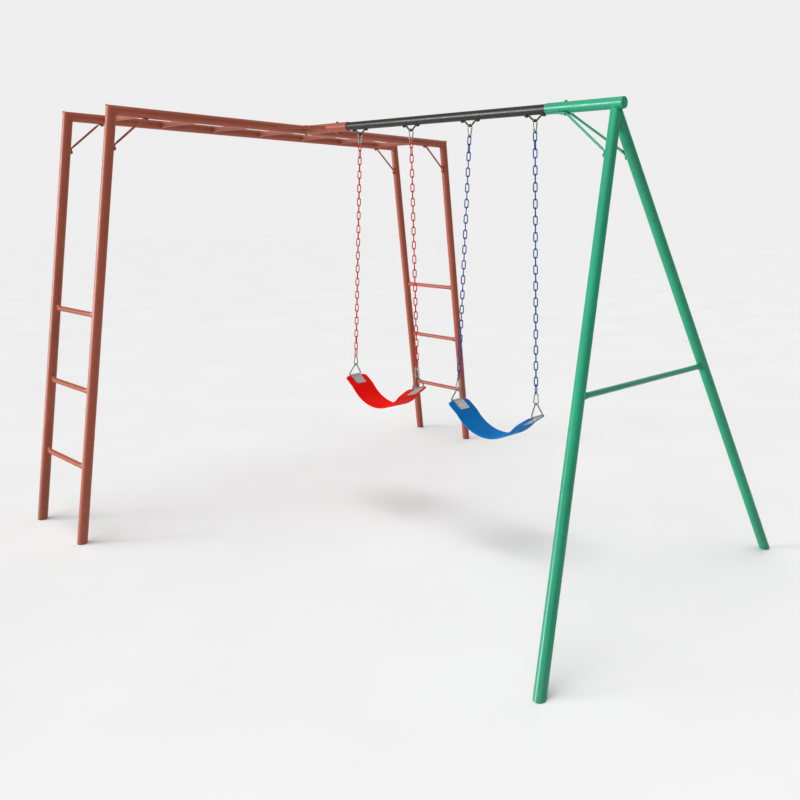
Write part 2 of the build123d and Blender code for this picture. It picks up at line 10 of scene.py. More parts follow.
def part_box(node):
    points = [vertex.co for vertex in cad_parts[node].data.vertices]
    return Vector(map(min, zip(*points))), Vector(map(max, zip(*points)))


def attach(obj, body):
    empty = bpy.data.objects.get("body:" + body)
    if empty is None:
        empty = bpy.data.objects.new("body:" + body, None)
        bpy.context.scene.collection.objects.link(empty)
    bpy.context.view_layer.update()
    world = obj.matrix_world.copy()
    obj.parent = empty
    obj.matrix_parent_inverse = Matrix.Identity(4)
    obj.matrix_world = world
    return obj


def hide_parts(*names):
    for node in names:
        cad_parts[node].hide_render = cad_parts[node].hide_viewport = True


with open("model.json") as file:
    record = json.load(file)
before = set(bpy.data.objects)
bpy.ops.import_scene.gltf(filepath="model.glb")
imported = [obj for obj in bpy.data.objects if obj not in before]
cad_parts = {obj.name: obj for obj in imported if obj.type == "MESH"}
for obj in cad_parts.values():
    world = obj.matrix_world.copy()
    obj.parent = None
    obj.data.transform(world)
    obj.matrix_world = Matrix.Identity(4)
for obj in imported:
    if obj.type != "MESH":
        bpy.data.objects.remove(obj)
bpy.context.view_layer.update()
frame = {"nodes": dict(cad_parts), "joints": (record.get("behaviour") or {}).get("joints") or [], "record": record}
random.seed(7)

# ---------------------------------------------------------------------------
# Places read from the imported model, and the driving dimensions, in metres
# ---------------------------------------------------------------------------
MM = 0.001
X, Y, Z = Vector((1, 0, 0)), Vector((0, 1, 0)), Vector((0, 0, 1))
JOINTS = {joint["name"]: joint for joint in frame["joints"]}


def middle(node):
    low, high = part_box(node)
    return (low + high) / 2


def extent(node):
    low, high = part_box(node)
    return high - low


def seat_pivot_z(colour):
    return JOINTS[colour + "_seat_tilt"]["pos_m"][2]


NEAR_X = middle("near_rail").x
FAR_X = middle("far_rail").x
AXIS_Z = middle("swing_beam").z
TUBE_R = extent("near_rail").x / 2
BEAM_R = extent("swing_beam").y / 2
APEX_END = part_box("apex_tube")[1].x

# climbing frame, A-frame and their braces
HALF_RAIL = 1055 * MM
LEG_LEAN = 256 * MM
LADDER_PITCH = 348 * MM
LADDER_RUNGS = 3
OVERHEAD_PITCH = 293 * MM
OVERHEAD_RUNGS = 7
RUNG_R = 12 * MM
CROSS_R = 11 * MM
APEX_X = APEX_END - 33 * MM
A_LEG_TOP_Z = 1926 * MM
A_LEG_OUT = 370 * MM
A_LEG_HALF = 866 * MM
CROSS_Z = middle("a_frame_crossbar").z
BRACE_REACH = 147 * MM
BRACE_R = 5 * MM
BRACE_TAB = 34 * MM
TAB_WIDTH = 18 * MM
TAB_THICK = 4 * MM
TAB_BACK = 6 * MM
TAB_TAPER = 26 * MM
A_BRACE_X = NEAR_X + 1704 * MM
A_BRACE_DROP = 181 * MM
A_BRACE_SIDE = 20 * MM
A_BRACE_SET = 19 * MM
BRACKET_LENGTH = 46 * MM
GUSSET_Y = 225 * MM
GUSSET_X = 215 * MM
GUSSET_HEIGHT = 16 * MM
GUSSET_THICK = 6 * MM
BRACKET_EDGE = 0.8 * MM
BRACKET_MARGIN = 2 * MM
ROD_END_DEPTH = 2 * MM

# hangers, chains and seats
HANGER_R = 4 * MM
HANGER_SPREAD = 39 * MM
HANGER_FOOT = 53 * MM
HANGER_BEND = 12 * MM
FOOT_BEND = 8 * MM
HANGER_SPACING = 4 * MM
FOOT_SWELL = 0.3
FOOT_SWELL_LENGTH = 10 * MM
PAD_X = 45 * MM
PAD_R = 10 * MM
PAD_TIP_R = 0.6 * MM
PAD_DEPTH = 8 * MM
PAD_STEPS = 8
HANGER_Z = JOINTS["red_swing"]["pos_m"][2]
SEAT_SPLAY = 50 * MM
LINKS = 32
LINK_R = 2.5 * MM
LINK_WIDTH = 20 * MM
LINK_GAP = 0.15 * MM
LINK_TURN = math.radians(42)
TURN_LINKS = 4
SEAM_SWELL = 0.16
SEAM_LENGTH = 2.2 * MM
TRI_R = 3 * MM
TRI_HEIGHT = 54 * MM
TRI_TILT = math.radians(8)
FIT_GAP = 0.3 * MM
PLATE_LENGTH = 66 * MM
PLATE_WIDTH = 62 * MM
PLATE_THICK = 2 * MM
PLATE_CORNER = 6 * MM
PLATE_EDGE = 0.7 * MM
PLATE_PARTS = 6
BELT_THICK = 6.4 * MM
BELT_WIDTH = 140 * MM
BELT_END_ANGLE = math.radians(35)
BELT_ANGLE = math.radians(48)
BELT_STRAIGHT = 70 * MM
BELT_SHOULDER = 80 * MM
BELT_CORNER = 22 * MM
BELT_EDGE = 2.4 * MM
BELT_PARTS = 12
BELT_END_GAP = 1 * MM


# ---------------------------------------------------------------------------
# Materials
# ---------------------------------------------------------------------------
class Surface:
    """A Principled material whose colour, roughness and bump come from nodes."""

    def __init__(self, name, settings):
        self.material = bpy.data.materials.new(name)
        self.material.use_nodes = True
        self.tree = self.material.node_tree
        self.shader = self.tree.nodes["Principled BSDF"]
        for socket, value in settings.items():
            self.shader.inputs[socket].default_value = value
        self.place = self.tree.nodes.new("ShaderNodeTexCoord").outputs["Object"]
        self.normal = None

    def node(self, kind, settings=(), links=()):
        made = self.tree.nodes.new(kind)
        for name, value in settings:
            setattr(made, name, value)
        for socket, source in links:
            if isinstance(source, (int, float, tuple)):
                made.inputs[socket].default_value = source
            else:
                self.tree.links.new(source, made.inputs[socket])
        return made

    def noise(self, scale, detail=3.0, rough=0.5, distortion=0.0):
        links = [("Vector", self.place), ("Scale", scale), ("Detail", detail),
                 ("Roughness", rough), ("Distortion", distortion)]
        return self.node("ShaderNodeTexNoise", links=links).outputs["Fac"]

    def cells(self, scale, feature="F1", output="Distance"):
        settings = [("feature", feature)]
        links = [("Vector", self.place), ("Scale", scale)]
        return self.node("ShaderNodeTexVoronoi", settings, links).outputs[output]

    def height(self):
        split = self.node("ShaderNodeSeparateXYZ", links=[("Vector", self.place)])
        return split.outputs["Z"]

    def spread(self, source, low, high, out_low=0.0, out_high=1.0):
        links = [("Value", source), ("From Min", low), ("From Max", high),
                 ("To Min", out_low), ("To Max", out_high)]
        return self.node("ShaderNodeMapRange", links=links).outputs["Result"]

    def times(self, first, second):
        made = self.node("ShaderNodeMath", [("operation", "MULTIPLY")])
        for socket, source in zip(made.inputs, (first, second)):
            if isinstance(source, float):
                socket.default_value = source
            else:
                self.tree.links.new(source, socket)
        return made.outputs[0]

    def blend(self, share, first, second):
        """Colour mix; sockets 0, 6 and 7 are its factor and its two colours."""
        made = self.node("ShaderNodeMix", [("data_type", "RGBA")])
        for socket, source in ((made.inputs[0], share), (made.inputs[6], first), (made.inputs[7], second)):
            if isinstance(source, (tuple, float)):
                socket.default_value = source
            else:
                self.tree.links.new(source, socket)
        return made.outputs[2]

    def bump(self, height, distance, strength=1.0):
        links = [("Height", height), ("Distance", distance), ("Strength", strength)]
        made = self.node("ShaderNodeBump", links=links)
        if self.normal:
            self.tree.links.new(self.normal, made.inputs["Normal"])
        self.normal = made.outputs["Normal"]

    def finish(self, colour, roughness):
        self.tree.links.new(colour, self.shader.inputs["Base Color"])
        self.tree.links.new(roughness, self.shader.inputs["Roughness"])
        if self.normal:
            self.tree.links.new(self.normal, self.shader.inputs["Normal"])
        return self.material


def shade(colour, factor):
    """A darker or lighter RGBA of an RGB colour."""
    return tuple(min(1.0, channel * factor) for channel in colour) + (1.0,)


def paint(name, colour, gloss, dust=0.1):
    """Stoved paint on steel: orange peel, slow tone drift, dust low down, small scuffs."""
    s = Surface(name, {"Metallic": 0.0, "Coat Weight": 0.10, "Coat Roughness": gloss,
                       "Specular IOR Level": 0.30})
    tone = s.spread(s.noise(2.6, 4.0), 0.3, 0.7)
    base = s.blend(tone, shade(colour, 0.86), shade(colour, 1.14))
    mottle = s.spread(s.noise(46.0, 5.0, 0.6), 0.35, 0.7, 0.0, 0.28)
    base = s.blend(mottle, base, shade(colour, 0.72))
    scuff = s.spread(s.noise(95.0, 6.0, 0.7, 0.6), 0.74, 0.79, 0.0, 0.35)
    pale = tuple(0.75 * channel + 0.05 for channel in colour) + (1.0,)
    base = s.blend(scuff, base, pale)
    low_down = s.spread(s.height(), 0.22, 0.0, 0.0, dust)
    dirt = s.times(low_down, s.spread(s.noise(38.0, 5.0), 0.35, 0.65))
    base = s.blend(dirt, base, (0.30, 0.24, 0.18, 1.0))
    rough = s.spread(s.noise(24.0, 4.0), 0.3, 0.7, gloss - 0.04, gloss + 0.07)
    s.bump(s.noise(520.0, 2.0), 0.0001, 0.16)
    s.bump(s.noise(60.0, 3.0), 0.0004, 0.04)
    return s.finish(base, rough)


def zinc(name, tint, spangle):
    """Bright zinc plate, with the crystal pattern that hot-dipped sheet shows."""
    s = Surface(name, {"Metallic": 1.0})
    tone = s.spread(s.noise(70.0, 4.0), 0.3, 0.7)
    base = s.blend(tone, shade(tint, 0.82), shade(tint, 1.08))
    crystal = s.cells(spangle, output="Color")
    grey = s.node("ShaderNodeRGBToBW", links=[("Color", crystal)]).outputs[0]
    base = s.blend(s.spread(grey, 0.2, 0.8, 0.0, 0.45), base, shade(tint, 0.66))
    stain = s.spread(s.noise(190.0, 5.0, 0.65), 0.62, 0.72, 0.0, 0.5)
    base = s.blend(stain, base, (0.33, 0.31, 0.29, 1.0))
    rough = s.spread(grey, 0.2, 0.8, 0.28, 0.46)
    s.bump(s.noise(900.0, 3.0), 0.0001, 0.3)
    return s.finish(base, rough)


def coating(name, colour):
    """Glossy dipped coating on chain: thicker in places, with small rubs."""
    s = Surface(name, {"Metallic": 0.0, "Coat Weight": 0.06, "Coat Roughness": 0.2,
                       "Specular IOR Level": 0.18})
    tone = s.spread(s.noise(30.0, 4.0), 0.3, 0.7)
    base = s.blend(tone, shade(colour, 0.78), shade(colour, 1.15))
    rub = s.spread(s.noise(210.0, 6.0, 0.7), 0.70, 0.77, 0.0, 0.4)
    worn = tuple(0.8 * channel + 0.03 for channel in colour) + (1.0,)
    base = s.blend(rub, base, worn)
    rough = s.spread(s.noise(160.0, 4.0), 0.3, 0.7, 0.20, 0.38)
    s.bump(s.noise(420.0, 3.0), 0.0003, 0.35)
    return s.finish(base, rough)


def belt_rubber(name, colour):
    """Moulded belt: fine leathery grain, slow colour drift, a few polished rubs."""
    s = Surface(name, {"Metallic": 0.0, "Specular IOR Level": 0.03})
    tone = s.spread(s.noise(9.0, 4.0), 0.3, 0.7)
    base = s.blend(tone, shade(colour, 0.88), shade(colour, 1.10))
    cloud = s.spread(s.noise(75.0, 6.0, 0.65), 0.45, 0.72, 0.0, 0.18)
    base = s.blend(cloud, base, shade(colour, 0.66))
    scratch = s.spread(s.noise(300.0, 6.0, 0.75, 1.2), 0.71, 0.76, 0.0, 0.25)
    pale = tuple(0.85 * channel + 0.02 for channel in colour) + (1.0,)
    base = s.blend(scratch, base, pale)
    rough = s.spread(s.noise(55.0, 5.0), 0.3, 0.7, 0.42, 0.60)
    grain = s.cells(1500.0, "SMOOTH_F1")
    s.bump(grain, 0.00018, 0.5)
    s.bump(s.noise(120.0, 3.0), 0.0008, 0.12)
    return s.finish(base, rough)


RED = (0.335, 0.074, 0.036)
GREEN = (0.013, 0.262, 0.145)
BLACK = (0.015, 0.0135, 0.011)
BOLT_SHADE = 0.85
WELD_SHADE = 1.05
MATERIALS = {
    "red_paint": paint("brick_red_paint", RED, 0.40),
    "red_bolts": paint("brick_red_bolt_paint", shade(RED, BOLT_SHADE)[:3], 0.46, 0.0),
    "black_paint": paint("charcoal_paint", BLACK, 0.38),
    "green_paint": paint("emerald_paint", GREEN, 0.34),
    "green_bolts": paint("emerald_bolt_paint", shade(GREEN, BOLT_SHADE)[:3], 0.36, 0.0),
    "zinc": zinc("bright_zinc", (0.50, 0.50, 0.49), 260.0),
    "red_chain": coating("red_chain_coating", (0.56, 0.010, 0.004)),
    "blue_chain": coating("blue_chain_coating", (0.0, 0.044, 0.250)),
    "red_belt": belt_rubber("red_belt_rubber", (0.80, 0.004, 0.001)),
    "blue_belt": belt_rubber("blue_belt_rubber", (0.0, 0.140, 0.420)),
}
WIRE_ZINC = {
    "rings": zinc("ring_wire_zinc", (0.30, 0.28, 0.26), 420.0),
    "hooks": zinc("hook_wire_zinc", (0.36, 0.36, 0.35), 420.0),
}
WELDS = {
    "red_paint": paint("brick_red_weld_paint", shade(RED, WELD_SHADE)[:3], 0.50, 0.0),
    "black_paint": paint("charcoal_weld_paint", BLACK, 0.50, 0.0),
    "green_paint": paint("emerald_weld_paint", GREEN, 0.40, 0.0),
}

for part in frame["record"]["subparts"]:
    mesh = frame["nodes"][part["node"]].data
    mesh.materials.clear()
    material = MATERIALS[part["material_slot"]]
    if "rings" in part["node"]:
        material = WIRE_ZINC["rings"]
    if "hook" in part["node"] or "gate" in part["node"]:
        material = WIRE_ZINC["hooks"]
    mesh.materials.append(material)


# ---------------------------------------------------------------------------
# Mesh building
# ---------------------------------------------------------------------------
class Shape:
    """The vertices and faces of one piece."""

    def __init__(self):
        self.points = []
        self.faces = []

    def loft(self, rings, closed=False):
        """Skin a row of rings with equal counts; the ends are filled unless the row closes."""
        start, count, rows = len(self.points), len(rings[0]), len(rings)
        for ring in rings:
            self.points.extend(ring)
        for row in range(rows if closed else rows - 1):
            a = start + row * count
            b = start + (row + 1) % rows * count
            for i in range(count):
                k = (i + 1) % count
                self.faces.append((a + i, a + k, b + k, b + i))
        if not closed:
            last = start + (rows - 1) * count
            self.faces.append(tuple(start + i for i in reversed(range(count))))
            self.faces.append(tuple(last + i for i in range(count)))

    def make(self, name, body, slot, material=None, replaced=()):
        mesh = bpy.data.meshes.new(name)
        mesh.from_pydata([tuple(point) for point in self.points], [], self.faces)
        work = bmesh.new()
        work.from_mesh(mesh)
        bmesh.ops.recalc_face_normals(work, faces=work.faces)
        work.to_mesh(mesh)
        work.free()
        mesh.materials.append(material or MATERIALS[slot])
        mesh.shade_smooth()
        piece = bpy.data.objects.new(name, mesh)
        bpy.context.scene.collection.objects.link(piece)
        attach(piece, body)
        if replaced:
            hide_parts(*replaced)
        return piece


def ease(value):
    value = min(1.0, max(0.0, value))
    return value * value * (3 - 2 * value)


def mixed(a, b, share):
    return a + (b - a) * share


def oval(half_width, half_height, power, count):
    """Superellipse: power 2 is an ellipse, a higher power is nearer to a rectangle."""
    outline = []
    for i in range(count):
        angle = 2 * math.pi * (i + 0.5) / count
        c, s = math.cos(angle), math.sin(angle)
        x = math.copysign(abs(c) ** (2 / power), c) * half_width
        y = math.copysign(abs(s) ** (2 / power), s) * half_height
        outline.append((x, y))
    return outline


def placed(outline, origin, side, up):
    return [origin + side * x + up * y for x, y in outline]


def directions(path, closed=False):
    """Unit tangents along a row of points."""
    rows = len(path)
    found = []
    for i in range(rows):
        before = path[(i - 1) % rows] if closed else path[max(0, i - 1)]
        after = path[(i + 1) % rows] if closed else path[min(rows - 1, i + 1)]
        found.append((after - before).normalized())
    return found


def swept(shape, path, side, outline_at, closed=False):
    """Sweep an outline; side stays square to the path, outline_at(i) gives the outline there."""
    rings = []
    for i, (point, along) in enumerate(zip(path, directions(path, closed))):
        across = (side - along * side.dot(along)).normalized()
        rings.append(placed(outline_at(i), point, across, across.cross(along)))
    shape.loft(rings, closed)


def rounded(corners, radii, step=math.radians(9)):
    """Points along a polyline whose inner corners are arcs of the given radii."""
    path = [corners[0]]
    for before, corner, after, radius in zip(corners, corners[1:], corners[2:], radii):
        a, b = (before - corner).normalized(), (after - corner).normalized()
        half = a.angle(b) / 2
        back = radius / math.tan(half)
        centre = corner + (a + b).normalized() * (radius / math.sin(half))
        first, last = corner + a * back - centre, corner + b * back - centre
        turn = math.pi - 2 * half
        parts = max(3, round(turn / step))
        for i in range(parts + 1):
            path.append(centre + first.slerp(last, i / parts).normalized() * radius)
    path.append(corners[-1])
    return path


def fine(path, spacing):
    """The same polyline with its long runs divided."""
    found = [path[0]]
    for a, b in zip(path, path[1:]):
        parts = max(1, math.ceil((b - a).length / spacing))
        found.extend(a.lerp(b, (i + 1) / parts) for i in range(parts))
    return found


def travelled(path):
    """Distance from the start at every point."""
    found = [0.0]
    for a, b in zip(path, path[1:]):
        found.append(found[-1] + (b - a).length)
    return found


def reach(point, along, origin, axis, radius):
    """Where a line running along meets a tube's surface, on the side it comes from."""
    w = point - origin
    w = w - axis * w.dot(axis)
    v = along - axis * along.dot(axis)
    a, b, c = v.dot(v), 2 * w.dot(v), w.dot(w) - radius * radius
    root = math.sqrt(max(0.0, b * b - 4 * a * c))
    return point + along * ((-b - root) / (2 * a))


# ---------------------------------------------------------------------------
# Weld beads
# ---------------------------------------------------------------------------
BEAD_SPACING = 1.1 * MM
RIPPLE = 4.2 * MM
BEAD_COUNT = 8
RUNG_BEAD = 2.6 * MM
TUBE_BEAD = 3.4 * MM
MITRE_BEAD = 2.2 * MM
CAP_BEAD = 1.4 * MM
CAP_INSET = 0.6 * MM
GUSSET_BEAD = 2.4 * MM
ROD_BEAD = 2.0 * MM
PAD_BEAD = 2.2 * MM


def evenly(loop, spacing):
    """A closed loop of points laid out again at even distances."""
    marks = travelled(loop + [loop[0]])
    total = marks[-1]
    count = max(12, round(total / spacing))
    ring = loop + [loop[0]]
    found, row = [], 0
    for i in range(count):
        target = total * i / count
        while marks[row + 1] < target:
            row += 1
        share = (target - marks[row]) / max(1e-9, marks[row + 1] - marks[row])
        found.append(ring[row].lerp(ring[row + 1], share))
    return found


def bead(shape, loop, radius):
    """A weld run round a closed loop: it swells at every ripple and drifts slowly round the loop."""
    path = evenly(loop, BEAD_SPACING)
    centre = sum(path, Vector()) / len(path)
    ripples = max(6, round(travelled(path)[-1] / RIPPLE))
    phase = random.random() * 2 * math.pi
    rings = []
    for i, (point, along) in enumerate(zip(path, directions(path, True))):
        out = point - centre
        out = (out - along * out.dot(along)).normalized()
        wave = abs(math.sin(math.pi * ripples * i / len(path) + phase))
        swell = 0.84 + 0.22 * wave + 0.08 * math.sin(7 * math.pi * i / len(path) + phase)
        outline = oval(radius * swell, radius * swell, 2, BEAD_COUNT)
        rings.append(placed(outline, point, out, out.cross(along)))
    shape.loft(rings, True)


# ---------------------------------------------------------------------------
# Rungs and crossbar: round tube pressed flat and tall at its ends
# ---------------------------------------------------------------------------
FLARE = 38 * MM
FLARE_HALF_HEIGHT = 17 * MM
FLARE_HALF_WIDTH = 5.5 * MM
RUNG_COUNT = 32


def pressed_outline(distance, radius):
    """Outline of a pressed tube at a distance from its welded end."""
    share = ease(distance / FLARE)
    width = mixed(FLARE_HALF_WIDTH, radius, share)
    tall = mixed(FLARE_HALF_HEIGHT * radius / RUNG_R, radius, share)
    return oval(width, tall, mixed(3.2, 2.0, share), RUNG_COUNT)


def pressed_tube(tubes, beads, start, end, start_axis, end_axis, radius=RUNG_R):
    """Tube between two round tubes; each axis is (point, direction, radius)."""
    along = (end - start).normalized()
    length = (end - start).length
    side = Z.cross(along)
    near = [FLARE * (i / 9) ** 1.3 for i in range(10)]
    middle_parts = 6
    inner = [mixed(FLARE, length - FLARE, i / middle_parts) for i in range(1, middle_parts)]
    stations = near + inner + [length - mark for mark in reversed(near)]
    rings = []
    for station in stations:
        from_end = min(station, length - station)
        outline = pressed_outline(from_end, radius)
        rings.append(placed(outline, start + along * station, side, Z))
    hold = 0.7 * FLARE
    for towards, axis, first in ((-along, start_axis, 0), (along, end_axis, -1)):
        ends = [reach(point, towards, *axis) for point in rings[first]]
        shifts = [(hit - point).dot(towards) for hit, point in zip(ends, rings[first])]
        for row, station in enumerate(stations):
            depth = station if first == 0 else length - station
            fade = 1 - ease(depth / hold)
            rings[row] = [point + towards * (shift * fade) for point, shift in zip(rings[row], shifts)]
        bead(beads, ends, RUNG_BEAD)
    tubes.loft(rings)


def leg_axis(x, side):
    top = Vector((x, side * HALF_RAIL, AXIS_Z))
    foot = Vector((x, side * (HALF_RAIL + LEG_LEAN), 0))
    return top, (foot - top).normalized(), TUBE_R


def make_rungs():
    beads = Shape()
    for side, word in ((-1, "left"), (1, "right")):
        tubes = Shape()
        for index in range(LADDER_RUNGS):
            z = LADDER_PITCH * (index + 1)
            y = side * (HALF_RAIL + LEG_LEAN * (1 - z / AXIS_Z))
            start = Vector((FAR_X + TUBE_R, y, z))
            end = Vector((NEAR_X - TUBE_R, y, z))
            pressed_tube(tubes, beads, start, end, leg_axis(FAR_X, side), leg_axis(NEAR_X, side))
        name = "ladder_rungs_" + word
        tubes.make("pressed_" + name, "frame", "red_paint", replaced=[name])
    tubes = Shape()
    for index in range(OVERHEAD_RUNGS):
        y = OVERHEAD_PITCH * (index - (OVERHEAD_RUNGS - 1) / 2)
        ends = [(Vector((x, 0, AXIS_Z)), Y, TUBE_R) for x in (FAR_X, NEAR_X)]
        start = Vector((FAR_X + TUBE_R, y, AXIS_Z))
        end = Vector((NEAR_X - TUBE_R, y, AXIS_Z))
        pressed_tube(tubes, beads, start, end, *ends)
    tubes.make("pressed_overhead_rungs", "frame", "red_paint", replaced=["overhead_rungs"])
    beads.make("rung_welds", "frame", "red_paint", WELDS["red_paint"])


# ---------------------------------------------------------------------------
# A-frame
# ---------------------------------------------------------------------------
APEX = Vector((APEX_X, 0, A_LEG_TOP_Z))


def a_foot(side):
    return Vector((APEX_X + A_LEG_OUT, side * A_LEG_HALF, 0))


def a_axis(side):
    return APEX, (a_foot(side) - APEX).normalized(), TUBE_R


def a_point(side, z):
    return APEX.lerp(a_foot(side), 1 - z / A_LEG_TOP_Z)


def round_loop(origin, along, side, radius, count=96):
    up = side.cross(along).normalized()
    return placed(oval(radius, radius, 2, count), origin, side, up)


def make_a_frame():
    beads, bar = Shape(), Shape()
    start, end = a_point(-1, CROSS_Z), a_point(1, CROSS_Z)
    start, end = start + Y * TUBE_R, end - Y * TUBE_R
    pressed_tube(bar, beads, start, end, a_axis(-1), a_axis(1), CROSS_R)
    bar.make("pressed_crossbar", "frame", "green_paint", replaced=["a_frame_crossbar"])
    for side in (-1, 1):
        down = a_axis(side)[1]
        low = APEX + down * 4 * TUBE_R
        loop = []
        for point in round_loop(low, down, X.cross(down).normalized(), TUBE_R):
            on_tube = reach(point, -down, Vector((APEX_X, 0, AXIS_Z)), X, TUBE_R)
            to_plane = point - down * (point.y / down.y)
            loop.append(min((on_tube, to_plane), key=lambda hit: (hit - point).length))
        bead(beads, loop, TUBE_BEAD)
    bead(beads, round_loop(Vector((APEX_END, 0, AXIS_Z)), X, Y, TUBE_R - CAP_INSET), CAP_BEAD)
    beads.make("a_frame_welds", "frame", "green_paint", WELDS["green_paint"])


# ---------------------------------------------------------------------------
# Climbing frame welds: mitred corners, stub and its level braces
# ---------------------------------------------------------------------------
def mitre_loop(x, side):
    centre = Vector((x, side * HALF_RAIL, AXIS_Z))
    down = leg_axis(x, side)[1]
    normal = (Vector((0, side, 0)) + down).normalized()
    loop = []
    for point in round_loop(centre, Y, X, TUBE_R):
        loop.append(point - Y * ((point - centre).dot(normal) / normal.y))
    return loop


def make_frame_welds():
    beads = Shape()
    for x in (NEAR_X, FAR_X):
        for side in (-1, 1):
            bead(beads, mitre_loop(x, side), MITRE_BEAD)
    rail = (Vector((NEAR_X, 0, AXIS_Z)), Y, TUBE_R)
    stub = (Vector((NEAR_X, 0, AXIS_Z)), X, TUBE_R)
    far_out = Vector((NEAR_X + 3 * TUBE_R, 0, AXIS_Z))
    loop = [reach(point, -X, *rail) for point in round_loop(far_out, X, Y, TUBE_R)]
    bead(beads, loop, TUBE_BEAD)
    for side in (-1, 1):
        near = Vector((NEAR_X, side * GUSSET_Y, AXIS_Z))
        far = Vector((NEAR_X + GUSSET_X, 0, AXIS_Z))
        along = (far - near).normalized()
        across = Z.cross(along)
        outline = oval(GUSSET_THICK / 2, GUSSET_HEIGHT / 2, 6, 40)
        centre = near.lerp(far, 0.5)
        ring = placed(outline, centre, across, Z)
        bead(beads, [reach(point, -along, *rail) for point in ring], GUSSET_BEAD)
        bead(beads, [reach(point, along, *stub) for point in ring], GUSSET_BEAD)
    beads.make("climbing_frame_welds", "frame", "red_paint", WELDS["red_paint"])


# ---------------------------------------------------------------------------
# Diagonal braces: round rod hammered flat and bent at its bolted ends
# ---------------------------------------------------------------------------
BRACE_COUNT = 24
BRACE_BEND = 14 * MM
BRACE_SPACING = 5 * MM


def brace_outline(from_tip):
    """Flat tab with a round tip, turning into round rod."""
    half = TAB_WIDTH / 2
    share = ease((from_tip - (BRACE_TAB - TAB_BACK)) / TAB_TAPER)
    width = mixed(half, BRACE_R, share)
    thick = mixed(TAB_THICK / 2, BRACE_R, share)
    if from_tip < half:
        width = math.sqrt(max(0.04 * half * half, half * half - (half - from_tip) ** 2))
    return oval(width, thick, mixed(5.0, 2.0, share), BRACE_COUNT)


def brace_path(start, start_dir, start_out, end, end_dir, end_out):
    """Down the middle of tab, rod and tab; the tabs lie flat on their tubes."""
    tip = BRACE_TAB - TAB_WIDTH / 2
    lift = TAB_THICK / 2
    first, last = start + start_out * lift, end + end_out * lift
    corners = [first + start_dir * tip, first, last, last + end_dir * tip]
    path = rounded(corners, [BRACE_BEND, BRACE_BEND])
    return fine(path, BRACE_SPACING)


def sweep_brace(shape, path, side, both_ends=True):
    """Sweep a brace; its tabs get extra rings near the tips, where they round off."""
    near = path[0]
    spread = [near.lerp(path[1], i / 4) for i in range(4)]
    far = [path[-2].lerp(path[-1], i / 4) for i in range(1, 5)] if both_ends else [path[-1]]
    path = spread + path[1:-1] + far
    marks = travelled(path)
    total = marks[-1]

    def outline_at(i):
        from_tip = min(marks[i], total - marks[i]) if both_ends else marks[i]
        return brace_outline(from_tip)

    swept(shape, path, side, outline_at)


def make_corner_braces():
    shape = Shape()
    for x in (NEAR_X, FAR_X):
        for side in (-1, 1):
            top, down, _ = leg_axis(x, side)
            along = Vector((0, -side, 0))
            inner = Vector((0, -side * AXIS_Z, -LEG_LEAN)).normalized()
            on_leg = top + down * BRACE_REACH + inner * TUBE_R
            on_rail = top + along * BRACE_REACH - Z * TUBE_R
            sweep_brace(shape, brace_path(on_leg, down, inner, on_rail, along, -Z), X)
    shape.make("hammered_corner_braces", "frame", "red_paint", replaced=["corner_braces"])


def plate_block(shape, centre, half, edge):
    """A flat rectangular plate with softened edges."""
    rings = []
    for up, inset in ((-1, edge), (-1 + edge / half.z, 0.0), (1 - edge / half.z, 0.0), (1, edge)):
        outline = oval(half.x - inset, half.y - inset, 14, 48)
        rings.append(placed(outline, centre + Z * (half.z * up), X, Y))
    shape.loft(rings)


def make_a_brace():
    shape, beads = Shape(), Shape()
    under = AXIS_Z - TUBE_R
    half_y = A_BRACE_SIDE + TAB_WIDTH / 2 + BRACKET_MARGIN
    half = Vector((BRACKET_LENGTH / 2, half_y, TAB_THICK / 2))
    plate_block(shape, Vector((A_BRACE_X, 0, under - TAB_THICK / 2)), half, BRACKET_EDGE)
    for side in (-1, 1):
        down = a_axis(side)[1]
        inner = (-X + down * X.dot(down)).normalized()
        on_leg = a_point(side, AXIS_Z - A_BRACE_DROP) + inner * TUBE_R
        first = on_leg + inner * (TAB_THICK / 2)
        top_z = under - TAB_THICK / 2 - ROD_END_DEPTH
        top = Vector((A_BRACE_X + A_BRACE_SET, side * A_BRACE_SIDE, top_z))
        corners = [first + down * (BRACE_TAB - TAB_WIDTH / 2), first, top]
        path = fine(rounded(corners, [BRACE_BEND]), BRACE_SPACING)
        sweep_brace(shape, path, inner.cross(down), both_ends=False)
        along = (top - first).normalized()
        ring = round_loop(top, along, Y.cross(along).cross(along).normalized(), BRACE_R)
        low = under - TAB_THICK
        loop = [point + along * ((low - point.z) / along.z) for point in ring]
        for point in loop:
            point.x = min(point.x, A_BRACE_X + BRACKET_LENGTH / 2)
        bead(beads, loop, ROD_BEAD)
    shape.make("apex_brace", "frame", "green_paint", replaced=["a_frame_brace"])
    beads.make("apex_brace_welds", "frame", "green_paint", WELDS["green_paint"])


